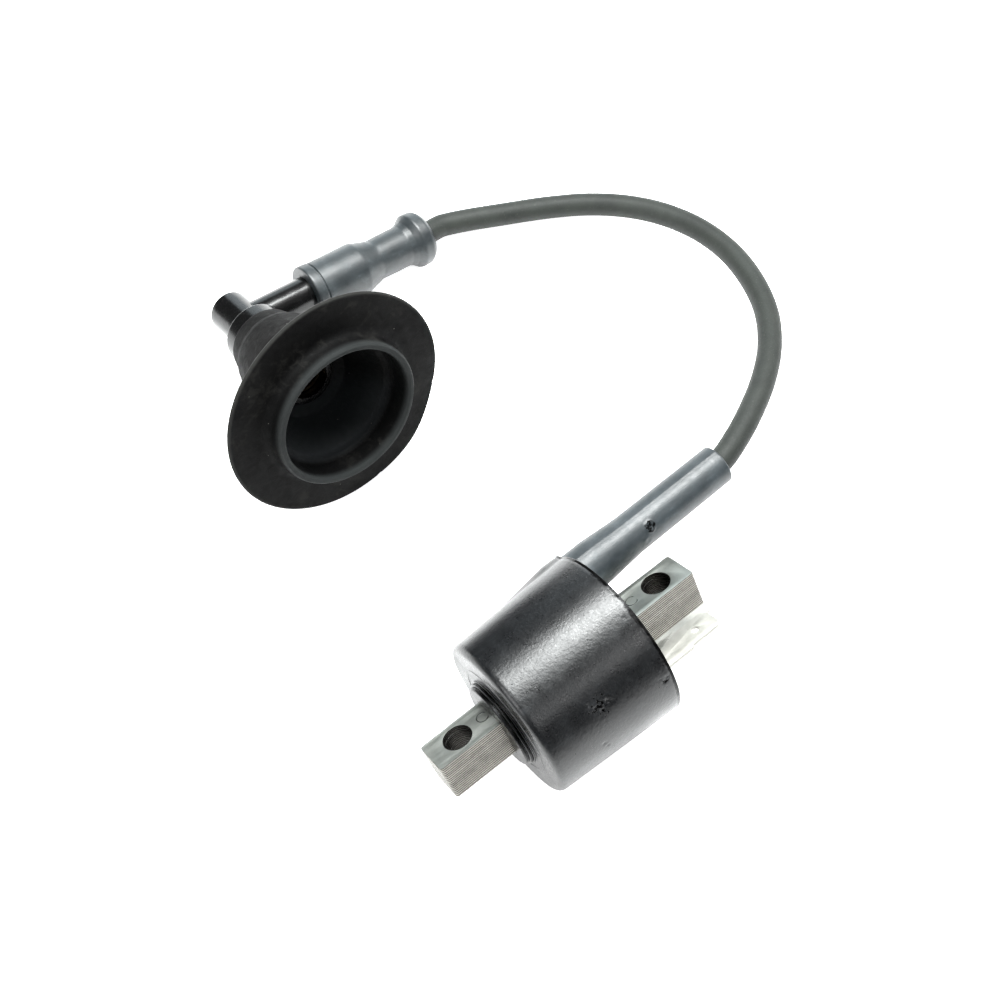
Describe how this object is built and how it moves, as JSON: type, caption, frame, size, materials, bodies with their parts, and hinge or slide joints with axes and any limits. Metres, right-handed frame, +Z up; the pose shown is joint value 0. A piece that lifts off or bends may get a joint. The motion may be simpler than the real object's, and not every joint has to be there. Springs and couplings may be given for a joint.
{
  "type": "ignition coil",
  "caption": "Small engine ignition coil: laminated core bar through a round potted housing, blade terminals, rubber-sleeved high tension lead and an angled plug cap with a shroud seal.",
  "frame": {"origin": "middle of the coil's bounding box at its lowest point, without the free lead and the cap on it", "axes": "+X along the core bar towards the terminals and the lead, +Z up from the bench the parts lie on; the bolt holes run along Z tipped 33 degrees towards +Y"},
  "size_m": [0.1405, 0.1451, 0.0543],
  "materials": {
    "black_plastic": "semi-gloss moulded",
    "lamination_steel": "stamped, bare",
    "tinned_brass": "bright tin",
    "bobbin_plastic": "moulded",
    "enamelled_copper": "enamelled wire",
    "insulating_paper": "varnished paper",
    "potting_epoxy": "cast epoxy",
    "sleeve_rubber": "satin rubber",
    "lead_rubber": "matte rubber",
    "cap_phenolic": "polished phenolic",
    "seal_rubber": "dusty matte rubber",
    "brass": "turned brass",
    "ceramic": "fired ceramic",
    "spring_steel": "drawn wire"
  },
  "bodies": {
    "coil": {"core_lamination_01": "lamination_steel", "core_lamination_02": "lamination_steel", "core_lamination_03": "lamination_steel", "core_lamination_04": "lamination_steel", "core_lamination_05": "lamination_steel", "core_lamination_06": "lamination_steel", "core_lamination_07": "lamination_steel", "core_lamination_08": "lamination_steel", "core_lamination_09": "lamination_steel", "core_lamination_10": "lamination_steel", "core_lamination_11": "lamination_steel", "core_lamination_12": "lamination_steel", "core_lamination_13": "lamination_steel", "core_lamination_14": "lamination_steel", "core_lamination_15": "lamination_steel", "core_lamination_16": "lamination_steel", "core_lamination_17": "lamination_steel", "core_lamination_18": "lamination_steel", "secondary_winding_1": "enamelled_copper", "secondary_winding_2": "enamelled_copper", "secondary_winding_3": "enamelled_copper", "secondary_winding_4": "enamelled_copper", "coil_housing": "black_plastic", "primary_bobbin": "bobbin_plastic", "secondary_bobbin": "bobbin_plastic", "primary_winding": "enamelled_copper", "interlayer_insulation": "insulating_paper", "potting_compound": "potting_epoxy", "tower_contact": "brass", "front_terminal": "tinned_brass", "rear_terminal": "tinned_brass", "coil_sleeve": "sleeve_rubber", "ht_lead": "lead_rubber"},
    "plug_cap": {"cap_body": "cap_phenolic", "cap_sleeve": "sleeve_rubber", "lead_screw_terminal": "brass", "suppressor_resistor": "ceramic", "contact_spring": "spring_steel", "plug_socket_clip": "brass"},
    "seal": {"shroud_seal": "seal_rubber"}
  },
  "joints": [
    {"name": "cap_swivel", "type": "hinge", "parent": "coil", "child": "plug_cap", "pos_m": [-0.0151, 0.11595, 0.0168], "axis": [-0.9824, 0.0015, 0.1869], "range_deg": [0, 150]},
    {"name": "seal_pull", "type": "slide", "parent": "plug_cap", "child": "seal", "axis": [0.0504, -0.9609, 0.2723], "range_m": [0, 0.012]}
  ]
}
